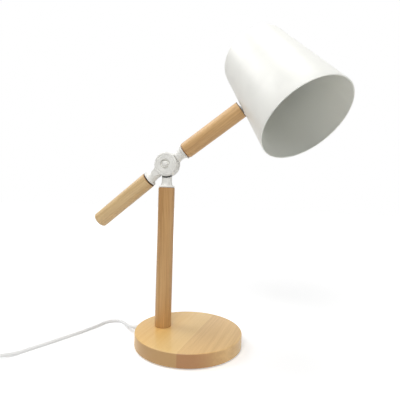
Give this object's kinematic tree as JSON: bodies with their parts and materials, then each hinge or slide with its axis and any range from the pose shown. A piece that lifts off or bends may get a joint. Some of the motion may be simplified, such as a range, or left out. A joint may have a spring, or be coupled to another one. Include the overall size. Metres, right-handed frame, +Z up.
{
  "type": "desk lamp",
  "caption": "Desk lamp with a round wooden foot, an upright rod, a friction hinge, a tilting arm with a tail rod, and a swivelling metal shade on a switched cord.",
  "frame": {"origin": "middle of the underside of the foot's pad, where the lamp stands", "axes": "+Z up, +X from the upright toward the shade's end of the arm, +Y to the rear, with the upright, the tail and the arm in the plane Y = 0"},
  "size_m": [0.5676, 0.3126, 0.4656],
  "materials": {
    "beech": "satin clear lacquer",
    "white_enamel": "satin powder coat",
    "zinc_steel": "zinc plated",
    "brass": "plain",
    "ballast_iron": "rough, blackened",
    "foam": "closed-cell foam",
    "white_plastic": "fine moulded texture",
    "nylon": "natural nylon",
    "opal_glass": "opal white",
    "cord_pvc": "smooth white sheath",
    "live_pvc": "brown insulation",
    "neutral_pvc": "blue insulation"
  },
  "bodies": {
    "base": {"base_disc": "beech", "base_ballast": "ballast_iron", "base_pad": "foam", "cord_relief": "cord_pvc", "cord_clamp": "nylon", "ballast_screw_1": "zinc_steel", "ballast_screw_2": "zinc_steel", "clamp_screw_1": "zinc_steel", "clamp_screw_2": "zinc_steel", "post_rod": "beech", "post_tube": "zinc_steel", "post_washer": "zinc_steel", "post_nut": "zinc_steel", "post_wire_live": "live_pvc", "post_wire_neutral": "neutral_pvc", "post_knuckle": "white_enamel", "friction_washer_front": "nylon", "friction_washer_rear": "nylon", "cord_run": "cord_pvc", "cord_link": "cord_pvc", "cord_coil": "cord_pvc", "cord_tail": "cord_pvc", "coil_tie": "white_plastic", "switch_top": "white_plastic", "switch_bottom": "white_plastic", "plug_body": "cord_pvc", "plug_pin_left": "zinc_steel", "plug_pin_right": "zinc_steel"},
    "tail": {"tail_knuckle": "white_enamel", "tail_stud": "zinc_steel", "tail_rod": "beech", "hinge_bolt": "white_enamel", "hinge_nut": "zinc_steel"},
    "arm": {"arm_knuckle": "white_enamel", "spring_washer": "zinc_steel", "arm_rod": "beech", "arm_tube": "zinc_steel", "swivel_collar": "nylon", "swivel_washer": "zinc_steel", "swivel_nut": "zinc_steel", "arm_wire_live": "live_pvc", "arm_wire_neutral": "neutral_pvc"},
    "shade": {"shade": "white_enamel", "shade_seat": "nylon", "holder_bracket": "zinc_steel", "holder_nipple": "zinc_steel", "nipple_nut": "zinc_steel", "lampholder": "white_plastic", "holder_sleeve": "brass", "holder_contact": "brass", "bulb_globe": "opal_glass", "bulb_collar": "white_plastic", "bulb_cap": "zinc_steel", "bulb_contact": "brass", "holder_wire_live": "live_pvc", "holder_wire_neutral": "neutral_pvc"},
    "rocker": {"switch_rocker": "white_plastic"}
  },
  "joints": [
    {"name": "arm_tilt", "type": "hinge", "parent": "base", "child": "arm", "pos_m": [-0.042, 0, 0.27], "axis": [0, -1, 0], "range_deg": [-55, 45]},
    {"name": "tail_tilt", "type": "hinge", "parent": "base", "child": "tail", "pos_m": [-0.042, 0, 0.27], "axis": [0, -1, 0], "range_deg": [-82, 4]},
    {"name": "shade_swivel", "type": "hinge", "parent": "arm", "child": "shade", "pos_m": [0.11937, 0, 0.38299], "axis": [0.8192, 0, 0.5736], "range_deg": [-97, 143]},
    {"name": "switch_rock", "type": "hinge", "parent": "base", "child": "rocker", "pos_m": [-0.22937, -0.18273, 0.0134], "axis": [-0.9323, 0.3616, 0], "range_deg": [0, 12]}
  ]
}
